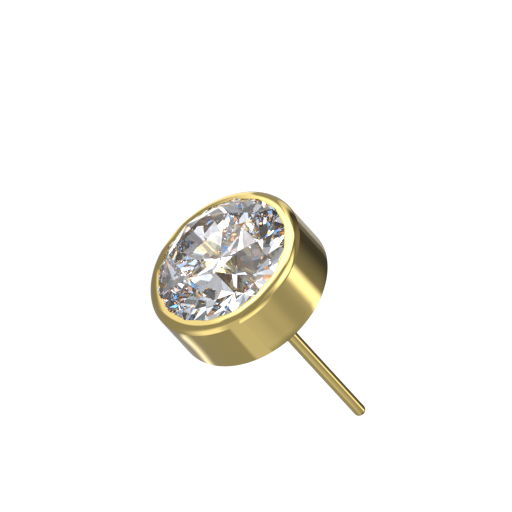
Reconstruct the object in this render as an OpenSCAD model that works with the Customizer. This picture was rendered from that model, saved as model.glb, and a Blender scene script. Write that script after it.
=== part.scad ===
// Threadless piercing top: a round bezel-set stone on a plain pin.
// It lies on its round wall, as it does unworn. The pin points along +Y, the stone's table
// faces -Y, and the origin is the middle of the whole box, on the surface that it lies on.

/* [Head] */
// Outer diameter of the bezel wall
head_d = 5; // [5:0.05:5.1]
// Height of the straight wall, from the back face to the crisp edge under the lip
wall_h = 1.64; // [1.64:0.01:1.7]
// Rise of the rolled lip above the wall's edge
lip_rise = 0.23; // [0.23:0.01:0.25]
// Radius of the lip's rounded section
lip_round = 0.351; // [0.34:0.001:0.37]
// Rounding of the edge between the wall and the back face
back_round = 0.03; // [0.01:0.01:0.06]

/* [Stone] */
// Diameter across the corners of the stone's girdle
stone_d = 4.5; // [4.46:0.01:4.5]
// Height of the girdle's upper edge above the back face
girdle_z = 1.76; // [1.75:0.01:1.77]
// Thickness of the girdle
girdle_t = 0.03; // [0.02:0.01:0.04]
// Slope of the crown's main facets, in degrees
crown_angle = 38; // [36:0.5:39]
// Slope of the pavilion's main facets, in degrees
pavilion_angle = 36; // [33:0.5:36]
// Width of the table, corner to corner, as a share of the girdle
table_share = 0.512; // [0.48:0.002:0.58]
// How far the star facets reach from the table to the girdle
star_share = 0.36; // [0.3:0.01:0.5]
// How far the lower girdle facets reach from the girdle to the point
lower_share = 0.66; // [0.5:0.01:0.8]
// Turn of the stone in its setting, in degrees
stone_turn = 13.9; // [0:0.1:45]

/* [Pin] */
// Diameter of the pin
pin_d = 0.366; // [0.3:0.002:0.46]
// Length of the pin from the back face to its tip
pin_l = 6.23; // [5.5:0.01:7]
// Rounding of the pin's tip
tip_round = 0.143; // [0.08:0.001:0.146]

/* [Fit] */
// Gap between the stone and the metal
seat_gap = 0.02; // [0.015:0.001:0.022]

/* [Hidden] */
$fn = 96;

// Heights are along the piece's own axis, from the back face towards the table
head_r = head_d / 2;
pin_r = pin_d / 2;
crest_z = wall_h + lip_rise;

// The lip's section is one circle through the wall's upper edge, with its top at the crest
lip_z = crest_z - lip_round;
lip_r = head_r - sqrt(pow(lip_round, 2) - pow(wall_h - lip_z, 2));

// The stone is a round brilliant with eight main facets above and eight below
mains = 8;
step = 360 / mains;
girdle_r = stone_d / 2;
table_r = girdle_r * table_share;
star_r = table_r + star_share * (girdle_r - table_r);
lower_r = girdle_r * (1 - lower_share);
table_z = girdle_z + tan(crown_angle) * (girdle_r - table_r);
star_z = girdle_z + tan(crown_angle) * (girdle_r - star_r * cos(step / 2));
girdle_low_z = girdle_z - girdle_t;
lower_z = girdle_low_z - tan(pavilion_angle) * (girdle_r - lower_r * cos(step / 2));
point_z = girdle_low_z - tan(pavilion_angle) * girdle_r;

// The metal's inside: a straight wall round the girdle, the lip's underside over the crown,
// a narrow sloping ledge that the stone sits on, and below it a round well. The well has a
// flat floor with a hollow cone in its middle, for the stone's point
bore_r = girdle_r + seat_gap;
crown_slope = (star_z - girdle_z) / (girdle_r - star_r);
lip_under_z = girdle_z + crown_slope * (girdle_r - lip_r) + seat_gap * 0.8;
bore_top_z = lip_under_z - crown_slope * (bore_r - lip_r);
seat_drop = seat_gap * 1.5;
seat_floor_r = 0.02;
well_r = girdle_r - 0.3;
lower_slope = (girdle_low_z - lower_z) / (girdle_r - lower_r);
ledge_z = girdle_low_z - lower_slope * (girdle_r - well_r) - seat_drop;

// Turn of the metal about its own axis, in degrees
metal_turn = 3.6;

// The pin runs into the base by half of the metal under the stone's point
pin_root = (point_z - seat_drop) / 2;

// The whole piece is centred between the table and the pin's tip
middle_z = (table_z - pin_l) / 2;

module cup_outline() {
    intersection() {
        union() {
            translate([0, back_round]) square([head_r, wall_h - back_round]);
            square([head_r - back_round, wall_h]);
            translate([head_r - back_round, back_round]) circle(r = back_round);
            square([lip_r, crest_z]);
            translate([lip_r, lip_z]) circle(r = lip_round);
        }
        square([head_r, crest_z]);
    }
}

module cup_inside() {
    polygon([
        [0, point_z - seat_drop],
        [seat_floor_r, point_z - seat_drop],
        [lower_r, lower_z - seat_drop],
        [well_r, lower_z - seat_drop],
        [well_r, ledge_z],
        [bore_r, girdle_low_z - seat_drop],
        [bore_r, bore_top_z],
        [lip_r, lip_under_z],
        [lip_r, table_z],
        [0, table_z]
    ]);
}

module bezel_cup() {
    rotate_extrude() difference() {
        cup_outline();
        cup_inside();
    }
}

module pin_outline() {
    straight_l = pin_l - tip_round;
    intersection() {
        union() {
            translate([0, -straight_l]) square([pin_r, straight_l + pin_root]);
            translate([0, -pin_l]) square([pin_r - tip_round, tip_round]);
            translate([pin_r - tip_round, -straight_l]) circle(r = tip_round);
        }
        translate([0, -pin_l]) square([pin_r, pin_l + pin_root]);
    }
}

module pin() {
    rotate_extrude() pin_outline();
}

function next(k) = (k + 1) % mains;
function before(k) = (k + mains - 1) % mains;
function ring(r, z, turn) = [
    for (k = [0 : mains - 1]) [r * cos(k * step + turn), r * sin(k * step + turn), z]
];

// Each ring of corners starts at its own number in the list of points
module brilliant() {
    table = 0;
    star = mains;
    upper = 2 * mains;
    upper_mid = 3 * mains;
    lower = 4 * mains;
    lower_mid = 5 * mains;
    tip = 6 * mains;
    point = 7 * mains;
    half = step / 2;
    all = [0 : mains - 1];
    corners = concat(
        ring(table_r, table_z, 0),
        ring(star_r, star_z, half),
        ring(girdle_r, girdle_z, 0),
        ring(girdle_r, girdle_z, half),
        ring(girdle_r, girdle_low_z, 0),
        ring(girdle_r, girdle_low_z, half),
        ring(lower_r, lower_z, half),
        [[0, 0, point_z]]
    );
    table_facet = [[for (k = all) table + mains - 1 - k]];
    star_facets = [for (k = all) [table + k, table + next(k), star + k]];
    kites = [for (k = all) [table + k, star + k, upper + k, star + before(k)]];
    upper_facets = concat(
        [for (k = all) [star + k, upper_mid + k, upper + k]],
        [for (k = all) [star + k, upper + next(k), upper_mid + k]]
    );
    girdle_facets = concat(
        [for (k = all) [upper + k, upper_mid + k, lower_mid + k, lower + k]],
        [for (k = all) [upper_mid + k, upper + next(k), lower + next(k), lower_mid + k]]
    );
    lower_facets = concat(
        [for (k = all) [tip + k, lower + k, lower_mid + k]],
        [for (k = all) [tip + k, lower_mid + k, lower + next(k)]]
    );
    pavilion_mains = [for (k = all) [point, tip + before(k), lower + k, tip + k]];
    polyhedron(corners, concat(
        table_facet, star_facets, kites, upper_facets, girdle_facets, lower_facets, pavilion_mains
    ));
}

// Turns a form made upright, with the table up, so that it lies on its wall
module lying() {
    translate([0, middle_z, head_r]) rotate([90, 0, 0]) children();
}

module setting() {
    color("goldenrod") lying() rotate([0, 0, metal_turn]) {
        bezel_cup();
        pin();
    }
}

module stone() {
    color("white") lying() rotate([0, 0, stone_turn]) brilliant();
}

setting();
stone();
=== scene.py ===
import math

import bpy
import numpy as np
from mathutils import Matrix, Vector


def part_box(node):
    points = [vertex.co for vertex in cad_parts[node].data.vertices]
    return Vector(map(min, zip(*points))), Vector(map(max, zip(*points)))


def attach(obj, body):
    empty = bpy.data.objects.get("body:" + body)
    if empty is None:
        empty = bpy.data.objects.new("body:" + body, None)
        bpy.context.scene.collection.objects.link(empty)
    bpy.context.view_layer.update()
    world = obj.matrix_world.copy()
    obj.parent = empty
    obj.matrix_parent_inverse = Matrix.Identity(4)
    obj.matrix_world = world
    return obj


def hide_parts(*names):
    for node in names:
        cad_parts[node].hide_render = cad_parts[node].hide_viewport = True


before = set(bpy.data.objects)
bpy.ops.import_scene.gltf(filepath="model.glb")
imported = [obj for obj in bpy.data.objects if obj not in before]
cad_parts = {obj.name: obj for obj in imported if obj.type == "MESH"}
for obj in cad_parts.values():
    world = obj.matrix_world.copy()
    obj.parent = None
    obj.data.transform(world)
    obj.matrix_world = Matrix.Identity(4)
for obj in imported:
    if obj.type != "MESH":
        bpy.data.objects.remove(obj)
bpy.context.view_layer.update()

mm = 0.001
print("frame loaded:", sorted(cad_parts))


# a socket that Python's own signs can work with
class Value:
    def __init__(self, nodes, socket):
        self.nodes = nodes
        self.socket = socket

    def __add__(self, other):
        return self.nodes.maths("ADD", self, other)

    def __sub__(self, other):
        return self.nodes.maths("SUBTRACT", self, other)

    def __rsub__(self, other):
        return self.nodes.maths("SUBTRACT", other, self)

    def __mul__(self, other):
        return self.nodes.maths("MULTIPLY", self, other)

    __radd__ = __add__
    __rmul__ = __mul__


# a node tree and the ways to add to it
class Nodes:
    def __init__(self, tree):
        self.tree = tree

    def feed(self, socket, value):
        if isinstance(value, Value):
            self.tree.links.new(value.socket, socket)
        else:
            socket.default_value = value

    def node(self, kind, settings, sockets, output=0):
        made = self.tree.nodes.new("ShaderNode" + kind)
        for key, value in settings.items():
            setattr(made, key, value)
        for key, value in sockets.items():
            self.feed(made.inputs[key], value)
        return Value(self, made.outputs[output])

    def maths(self, operation, *values):
        return self.node("Math", {"operation": operation}, dict(enumerate(values)))

    def split(self, vector):
        return [self.node("SeparateXYZ", {}, {"Vector": vector}, axis) for axis in "XYZ"]

    def joined(self, *values):
        return self.node("CombineXYZ", {}, dict(enumerate(values)))

    # share 0 gives the first colour and 1 the second, each a tuple or a socket
    def blend(self, share, first, second):
        first, second = (c if isinstance(c, Value) else (*c, 1) for c in (first, second))
        return self.node("Mix", {"data_type": "RGBA"}, {0: share, 6: first, 7: second}, 2)

    # soft random patches on the piece, each about grain metres wide
    def noise(self, grain, detail=2):
        place = self.node("TexCoord", {}, {}, "Object")
        return self.node("TexNoise", {}, {"Vector": place, "Scale": 1 / grain, "Detail": detail}, "Fac")

    # 1 near the middle and 0 far away, falling smoothly over the edge's width round the reach
    def within(self, away, reach, edge):
        ends = {"From Min": reach - edge / 2, "From Max": reach + edge / 2, "To Min": 1, "To Max": 0}
        away = self.maths("ABSOLUTE", away)
        return self.node("MapRange", {"interpolation_type": "SMOOTHSTEP"}, {"Value": away, **ends})

    # the sum of soft-edged boxes in two coordinates, of which the second goes round in degrees
    def boxes(self, along, around, rows, scale=lambda value: value):
        total = 0
        for low, high, start, end, edge, bright in rows.values():
            low, high = scale(low), scale(high)
            near = self.within(along - (low + high) / 2, (high - low) / 2, edge)
            turned = self.maths("WRAP", around - (start + end) / 2, 180, -180)
            total = total + near * self.within(turned, (end - start) / 2, edge) * bright
        return total


# one material: its nodes and its Principled shader
class Finish(Nodes):
    def __init__(self, name, **uniform):
        self.material = bpy.data.materials.new(name)
        self.material.use_nodes = True
        super().__init__(self.material.node_tree)
        self.shader = self.tree.nodes["Principled BSDF"]
        self.surface(**uniform)

    def surface(self, **fed):
        for socket, value in fed.items():
            self.feed(self.shader.inputs[socket.replace("_", " ")], value)
        return self.material


# puts corners and faces into a new object that rides on the part;
# edges that turn by more than the sharp angle stay sharp, and with 0 every face is flat
def addPiece(name, corners, faces, material, node, sharpAngle):
    mesh = bpy.data.meshes.new(name)
    mesh.from_pydata(corners, [], faces)
    mesh.materials.append(material)
    mesh.polygons.foreach_set("use_smooth", np.full(len(mesh.polygons), sharpAngle > 0))
    if sharpAngle > 0:
        mesh.set_sharp_from_angle(angle=math.radians(sharpAngle))
    mesh.update()
    piece = bpy.data.objects.new(name, mesh)
    bpy.context.scene.collection.objects.link(piece)
    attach(piece, "root")
    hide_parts(node)
    print(name, "made:", len(mesh.polygons), "faces")


# lengths in mm and one angle in degrees; heights run along the part's own axis, from the head's
# back face towards the stone's table
setting = {
    "wallHeight": 1.64, "lipRise": 0.23, "lipRound": 0.351, "backRound": 0.03, "edgeRound": 0.006,
    "tipRound": 0.143, "pinRadius": 0.183, "rootFillet": 0.03, "boreGap": 0.02, "seatDrop": 0.03,
    "wellInset": 0.3, "seatFloor": 0.02, "stoneGap": 0.012, "lipClearance": 0.02, "sharpAngle": 15,
}
# how many points the section's lines have, and how many times it is repeated round the axis
fineness = {"around": 384, "tip": 24, "pin": 10, "line": 8, "fillet": 8, "back": 10, "lip": 48, "edge": 5}

setLow, setHigh = (np.array(corner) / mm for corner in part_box("setting"))
headRadius = (setHigh[2] - setLow[2]) / 2
axisHeight = (setHigh[2] + setLow[2]) / 2
crestHeight = setting["wallHeight"] + setting["lipRise"]
backY = setLow[1] + crestHeight
pinLength = setHigh[1] - backY


# from radius, turn and height about the part's axis to the frame, in metres
def placed(radius, turn, height):
    x, y, z = np.broadcast_arrays(radius * np.cos(turn), backY - height, axisHeight + radius * np.sin(turn))
    return np.stack([x, y, z], axis=-1) * mm


# lengths in mm and angles in degrees; the table's share is of the girdle's radius, the stars' of the
# way from the table out to the girdle, and the lower facets' of the way from the girdle to the point
stone = {
    "girdleRadius": 2.25, "girdleHeight": 1.76, "girdleBand": 0.03, "crownAngle": 38, "pavilionAngle": 36,
    "tableShare": 0.512, "starShare": 0.36, "lowerShare": 0.66, "turn": 13.9, "mains": 8,
}


# the stone's rings as radius, height and turn: the main facets slope by the crown's or the pavilion's
# angle and face the mains' turns, and the star and tip corners, half a step round, lie where two of
# their planes meet
def stoneRings(s):
    half = math.pi / s["mains"]
    crown, pavilion = (math.tan(math.radians(s[k])) for k in ("crownAngle", "pavilionAngle"))
    girdle, girdleTop = s["girdleRadius"], s["girdleHeight"]
    girdleLow = girdleTop - s["girdleBand"]
    table = girdle * s["tableShare"]
    star = table + s["starShare"] * (girdle - table)
    lower = girdle * (1 - s["lowerShare"])
    return {
        "table": (table, girdleTop + crown * (girdle - table), 0),
        "star": (star, girdleTop + crown * (girdle - star * math.cos(half)), half),
        "upper": (girdle, girdleTop, 0),
        "upperMid": (girdle, girdleTop, half),
        "low": (girdle, girdleLow, 0),
        "lowMid": (girdle, girdleLow, half),
        "tip": (lower, girdleLow - pavilion * (girdle - lower * math.cos(half)), half),
        "point": (0, girdleLow - pavilion * girdle, 0),
    }


# each ring is as many corners as there are mains, evenly round the axis, and the point is one corner;
# a facet joins a corner to its neighbours on the next rings
def makeStone(s, rings, material):
    mains = s["mains"]
    names = ["table", "star", "upper", "upperMid", "low", "lowMid", "tip"]
    k = np.arange(mains)
    after, before = np.roll(k, -1), np.roll(k, 1)
    turn = math.radians(s["turn"]) + 2 * math.pi * k / mains
    corners = [placed(rings[name][0], turn + rings[name][2], rings[name][1]) for name in names]
    corners.append(placed(np.zeros(1), 0, rings["point"][1]))
    table, star, upper, upperMid, low, lowMid, tip = (k + mains * i for i in range(len(names)))
    point = np.full(mains, mains * len(names))
    facets = [
        (star, table[after], table), (star[before], upper, star, table),
        (upper, upperMid, star), (upperMid, upper[after], star),
        (low, lowMid, upperMid, upper), (lowMid, low[after], upper[after], upperMid),
        (lowMid, low, tip), (low[after], lowMid, tip), (tip, low, tip[before], point),
    ]
    faces = [table.tolist()]
    for facet in facets:
        faces += np.stack(facet, axis=1).tolist()
    addPiece("brilliantStone", np.concatenate(corners), faces, material, "stone", 0)


# a ring's corner beside a main one, with the stone's axis upright and the main corner along x
def cornerBeside(ring, side):
    radius, height, turn = ring
    return np.array([radius * math.cos(turn), side * radius * math.sin(turn), height])


# the crown's outline at a height: in each direction, the smallest distance from the axis to one of
# the planes of the upper girdle facets, of which those that face over 60 degrees away are left out
def crownOutline(s, rings, turn, height):
    leastFacing = math.cos(math.radians(60))
    outline = np.full(np.broadcast(turn, height).shape, np.inf)
    for side in (1, -1):
        first, second, third = (cornerBeside(rings[name], side) for name in ("upper", "upperMid", "star"))
        normal = np.cross(second - first, third - first)
        normal = normal * np.sign(normal[2])
        slope = math.hypot(normal[0], normal[1])
        leaning = math.radians(s["turn"]) + math.atan2(normal[1], normal[0])
        for main in range(s["mains"]):
            facing = leaning + 2 * math.pi * main / s["mains"]
            reach = (normal @ first - normal[2] * height) / (slope * np.cos(turn - facing))
            outline = np.where(np.cos(turn - facing) > leastFacing, np.minimum(outline, reach), outline)
    return outline


# part of a circle in the section, between two angles in degrees up from outwards
def arc(radius, height, size, start, end, count):
    angle = np.radians(np.linspace(start, end, count))
    return radius + size * np.cos(angle), height + size * np.sin(angle)


# the points of a straight line in the section, without its two ends
def between(start, end, count):
    return [np.linspace(a, b, count)[1:-1] for a, b in zip(start, end)]


# the section is one line from the pin's tip, over the outside and the lip, to the seat's middle;
# it is turned about the axis, and on the lip's inner edge its radius follows the stone's outline
def makeSetting(s, points, rings, material):
    pin, tip, fillet = s["pinRadius"], s["tipRound"], s["rootFillet"]
    back, wall, lipRound = s["backRound"], s["wallHeight"], s["lipRound"]
    micro, drop = s["edgeRound"], s["seatDrop"]
    straight = pinLength - tip
    lipMiddle = crestHeight - lipRound
    rise = wall - lipMiddle
    lipRadius = headRadius - math.sqrt(lipRound ** 2 - rise ** 2)
    outside = [
        arc(pin - tip, -straight, tip, -90, 0, points["tip"]),
        between((pin, -straight), (pin, -fillet), points["pin"]),
        arc(pin + fillet, -fillet, -fillet, 0, -90, points["fillet"]),
        between((pin + fillet, 0), (headRadius - back, 0), points["line"]),
        arc(headRadius - back, back, back, -90, 0, points["back"]),
        between((headRadius, back), (headRadius, wall), points["line"]),
        arc(lipRadius, lipMiddle, lipRound, math.degrees(math.asin(rise / lipRound)), 90, points["lip"]),
    ]
    radii, heights = (np.concatenate([part[i] for part in outside]) for i in (0, 1))
    turn = 2 * math.pi * np.arange(points["around"]) / points["around"]
    edgeTop = crestHeight - micro
    underside = rings["upper"][1] + s["lipClearance"]
    lipHeights = np.linspace(edgeTop, underside, points["line"])
    lipEdge = crownOutline(stone, rings, turn[:, None], lipHeights[None, :]) + s["stoneGap"]
    rounding = np.radians(np.linspace(90, 180, points["edge"]))[:-1]
    topEdge = lipEdge[:, :1] + micro * (1 + np.cos(rounding))
    topHeights = edgeTop + micro * np.sin(rounding)
    girdle, girdleLow = rings["low"][:2]
    lower, lowerHeight = rings["tip"][:2]
    bore, well = girdle + s["boreGap"], girdle - s["wellInset"]
    ledge = girdleLow - (girdleLow - lowerHeight) / (girdle - lower) * s["wellInset"]
    seatMiddle = rings["point"][1] - drop
    inside = np.array([
        (bore, underside), (bore, girdleLow - drop), (well, ledge - drop), (well, lowerHeight - drop),
        (lower, lowerHeight - drop), (s["seatFloor"], seatMiddle),
    ])
    wide = (points["around"], 1)
    radius = np.hstack([np.tile(radii, wide), topEdge, lipEdge, np.tile(inside[:, 0], wide)])
    height = np.concatenate([heights, topHeights, lipHeights, inside[:, 1]])
    corners = placed(radius, turn[:, None], height[None, :]).reshape(-1, 3)
    poles = placed(np.zeros(2), 0, np.array([-pinLength, seatMiddle]))
    count = len(height)
    first = np.arange(points["around"]) * count
    last = first + count - 1
    here = first[:, None] + np.arange(count - 1)
    there = np.roll(here, -1, axis=0)
    tipPole, seatPole = np.full(points["around"], len(corners)), np.full(points["around"], len(corners) + 1)
    faces = np.stack([here, there, there + 1, here + 1], axis=-1).reshape(-1, 4).tolist()
    faces += np.stack([np.roll(first, -1), first, tipPole], axis=1).tolist()
    faces += np.stack([last, np.roll(last, -1), seatPole], axis=1).tolist()
    corners = np.concatenate([corners, poles])
    addPiece("goldSetting", corners, faces, material, "setting", s["sharpAngle"])


# two close tones in soft clouds, and a grain so fine that it only breaks up the gloss
gold = {
    "tone": (0.58, 0.453, 0.166), "deep": (0.557, 0.435, 0.16), "cloud": 0.9 * mm, "fine": 0.03 * mm,
    "fineDetail": 3, "rough": 0.03, "cloudRough": 0.03, "fineRough": 0.01, "bump": 0.05,
    "bumpHeight": 0.001 * mm,
}


def polishedGold(s):
    f = Finish("polishedGold", Metallic=1)
    cloud = f.noise(s["cloud"])
    fine = f.noise(s["fine"], s["fineDetail"])
    bumps = f.node("Bump", {}, {"Height": fine, "Strength": s["bump"], "Distance": s["bumpHeight"]})
    return f.surface(
        Base_Color=f.blend(cloud, s["tone"], s["deep"]),
        Roughness=s["rough"] + s["cloudRough"] * cloud + s["fineRough"] * fine,
        Normal=bumps,
    )


# clear and strongly refracting, with a faint cool cloud; mirror is how much of its gloss it keeps
clear = {"refraction": 2.6, "mirror": 0.65, "tone": (1, 1, 1), "cool": (0.97, 0.98, 1), "cloud": 1.2 * mm}


def clearStone(s):
    mirror = (s["mirror"], s["mirror"], s["mirror"], 1)
    f = Finish("clearStone", IOR=s["refraction"], Transmission_Weight=1, Specular_Tint=mirror, Roughness=0)
    return f.surface(Base_Color=f.blend(f.noise(s["cloud"]), s["tone"], s["cool"]))


rings = stoneRings(stone)
makeSetting(setting, fineness, rings, polishedGold(gold))
makeStone(stone, rings, clearStone(clear))


# the floor is a light table: it glows evenly, and brighter in a few places, given as distance in mm
# and azimuth in degrees about middle, a point on the floor just behind the head, edge and brightness
floor = {
    "side": 3, "middle": -1.5 * mm, "glow": 0.3, "toCamera": 0.96, "shade": 0.25, "shadeLow": 0.245,
    "rough": 0.6, "cloud": 6 * mm, "spread": 25,
}
floorGlows = {
    "frontLeft": (11.4, 90, 218, 263, 28, 3.85),
    "nearFront": (2.7, 8.7, 253, 290, 5, 1.1),
    "front": (8.1, 18.6, 246, 277, 18, 2.95),
    "right": (10.6, 3000, -43, 61, 7, 0.43),
    "besideWall": (1.9, 2.1, 335, 390, 9.5, 2.16),
    "nearRight": (3.9, 9.9, 318, 358, 15, 1.25),
    "leftNear": (2.3, 3.9, 175, 229, 5, 1.1),
    "leftFar": (3.9, 14, 175, 214, 5, 1.1),
}


# distances are compared as logarithms, so that an edge is softer the farther away it lies
def glowingFloor(s):
    f = Finish("paleFloor", Roughness=s["rough"], Specular_IOR_Level=0, Emission_Strength=1)
    x, y = f.split(f.node("TexCoord", {}, {}, "Object"))[:2]
    y = y - s["middle"]
    distance = f.maths("SQRT", x * x + y * y) * (1 / mm)
    azimuth = f.maths("ARCTAN2", y, x) * math.degrees(1)
    far = f.maths("LOGARITHM", distance, math.e) * s["spread"]
    glow = f.boxes(far, azimuth, floorGlows, lambda value: s["spread"] * math.log(value)) + s["glow"]
    seenDirectly = f.node("LightPath", {}, {}, "Is Camera Ray")
    shades = ([s["shade"]] * 3, [s["shadeLow"]] * 3)
    return f.surface(
        Base_Color=f.blend(f.noise(s["cloud"]), *shades),
        Emission_Color=f.blend(seenDirectly, f.joined(glow, glow, glow), [s["toCamera"]] * 3),
    )


# one square; its glow reaches the part by reflection, and rays that leave the stone pass through it
def makeFloor(s):
    half = s["side"] / 2
    mesh = bpy.data.meshes.new("floor")
    corners = [(-half, -half, 0), (half, -half, 0), (half, half, 0), (-half, half, 0)]
    mesh.from_pydata(corners, [], [(0, 1, 2, 3)])
    material = glowingFloor(s)
    material.cycles.emission_sampling = "NONE"
    mesh.materials.append(material)
    sheet = bpy.data.objects.new("floor", mesh)
    bpy.context.scene.collection.objects.link(sheet)
    sheet.visible_transmission = False


makeFloor(floor)
print("floor laid, brighter in", len(floorGlows), "places")

# angles in degrees: the camera looks down by elevation, axisAngle lies between its line of sight and
# the part's axis, and in the picture the pin points by pinHeading from the right, down as negative;
# the point at markHeight on the axis stands at markPixel
view = {
    "elevation": 25, "axisAngle": 48.1, "pinHeading": -47.46, "pixelsPerMm": 34.478,
    "markPixel": (223.2, 261.6), "markHeight": 1.757, "side": 512, "distance": 0.08, "clip": (0.001, 2),
}


# back is the direction to the camera; the pin's direction in the picture and the one across it,
# both turned by the heading, are the picture's right and up
def makeCamera(s):
    along = -math.cos(math.radians(s["axisAngle"]))
    upward = math.sin(math.radians(s["elevation"]))
    back = np.array([math.sqrt(1 - along ** 2 - upward ** 2), along, upward])
    pin = np.array([0, 1, 0]) - along * back
    pin = pin / np.linalg.norm(pin)
    across = np.cross(back, pin)
    heading = math.radians(s["pinHeading"])
    right = math.cos(heading) * pin - math.sin(heading) * across
    up = math.sin(heading) * pin + math.cos(heading) * across
    mark = placed(np.zeros(1), 0, s["markHeight"])[0]
    offset = (np.array(s["markPixel"]) - s["side"] / 2) / s["pixelsPerMm"] * mm
    place = mark - right * offset[0] + up * offset[1] + back * s["distance"]
    lens = bpy.data.cameras.new("camera")
    lens.type = "ORTHO"
    lens.ortho_scale = s["side"] / s["pixelsPerMm"] * mm
    lens.clip_start, lens.clip_end = s["clip"]
    camera = bpy.data.objects.new("camera", lens)
    bpy.context.scene.collection.objects.link(camera)
    turned = np.eye(4)
    turned[:3] = np.stack([right, up, back, place], axis=1)
    camera.matrix_world = Matrix(turned.tolist())
    bpy.context.scene.camera = camera


makeCamera(view)
print("camera placed")

# soft boxes of light in the sky, by elevation and azimuth in degrees, with soft edge and brightness
studio = {"sky": 0.08, "backdrop": (1, 1, 1)}
softBoxes = {
    "wallStrip": (36, 51, 85, 104, 14, 2.0),
    "frontLow": (-9, 35, 216, 252, 12.5, 3.2),
    "right": (-15, 38, -30, 44, 30, 1.4),
    "frontHigh": (49, 85, 229, 318, 30, 2.25),
    "leftLow": (-1, 13, 161, 260, 12.5, 1.2),
    "highRight": (25, 92, -84, 104, 18, 0.47),
    "highBack": (35, 98, 77, 219, 30, 0.31),
    "frontWide": (-11, 27, 200, 366, 11, 0.4),
    "frontRight": (34, 60, 263, 294, 30, 2.1),
    "slit": (-1, 9, 134, 139, 4, 0.15),
}
# what light meets that leaves the stone: patches of every brightness, brighter and darker as a whole
# in some directions, and read apart for red and blue by more the more often the light has bounced
sparkle = {
    "scale": 9, "place": (5, 3, 7), "apart": (0.0035, 0.0025, -0.0035), "plainBounces": 4, "power": 2,
    "bright": (2.55, 2.85), "least": 0.05, "level": 0.95, "leastLevel": 0.02, "darkerShare": 0.3,
}
sparkleBoxes = {
    "behindCamera": (-100, 48, 262, 321, 9, -0.65),
    "right": (-8, 49, 345, 406, 11, 1.5),
    "lowRight": (-44, -18, 306, 363, 11, 2.0),
    "aboveCamera": (31, 62, 299, 339, 10, 2.0),
    "lowFront": (-19, 12, 244, 281, 15, 0.85),
}


# a random number for each patch, raised to a power, times the level in that direction;
# green lies between red and blue, nearer to the darker of them
def sparklePatches(nodes, direction, level, s):
    bounces = nodes.maths("MAXIMUM", nodes.node("LightPath", {}, {}, "Ray Depth") - s["plainBounces"], 0)
    ends = []
    for side, bright in zip((-1, 1), s["bright"]):
        shift = nodes.joined(*(bounces * (side * a) + p for p, a in zip(s["place"], s["apart"])))
        place = nodes.node("VectorMath", {"operation": "ADD"}, {0: direction, 1: shift})
        patch = nodes.node("TexVoronoi", {}, {"Vector": place, "Scale": s["scale"]}, "Color")
        share = nodes.maths("POWER", nodes.split(patch)[0], s["power"]) * bright + s["least"]
        ends.append(share * level)
    red, blue = ends
    darker = s["darkerShare"]
    green = nodes.maths("MINIMUM", red, blue) * darker + (red + blue) * ((1 - darker) / 2)
    return nodes.joined(red, green, blue)


# the camera sees a plain backdrop, light from inside the stone the patches, and all else the soft boxes
def makeStudio(s, sparkle):
    world = bpy.data.worlds.new("studio")
    bpy.context.scene.world = world
    world.use_nodes = True
    nodes = Nodes(world.node_tree)
    direction = nodes.node("TexCoord", {}, {}, "Generated")
    x, y, z = nodes.split(direction)
    elevation = nodes.maths("ARCSINE", z) * math.degrees(1)
    azimuth = nodes.maths("ARCTAN2", y, x) * math.degrees(1)
    sky = nodes.boxes(elevation, azimuth, softBoxes) + s["sky"]
    level = nodes.boxes(elevation, azimuth, sparkleBoxes) + sparkle["level"]
    level = nodes.maths("MAXIMUM", level, sparkle["leastLevel"])
    patches = sparklePatches(nodes, direction, level, sparkle)
    fromStone = nodes.node("LightPath", {}, {}, "Is Transmission Ray")
    fromCamera = nodes.node("LightPath", {}, {}, "Is Camera Ray")
    seen = nodes.blend(fromStone, nodes.joined(sky, sky, sky), patches)
    seen = nodes.blend(fromCamera, seen, s["backdrop"])
    nodes.feed(world.node_tree.nodes["Background"].inputs["Color"], seen)


makeStudio(studio, sparkle)
bpy.context.scene.view_settings.view_transform = "Standard"
print("studio lit by", len(softBoxes), "soft boxes")

# light bounces many times inside a cut stone before it leaves
mostBounces = 32
paths = bpy.context.scene.cycles
paths.max_bounces = mostBounces
paths.glossy_bounces = mostBounces
paths.transmission_bounces = mostBounces
paths.caustics_reflective = False
paths.caustics_refractive = False
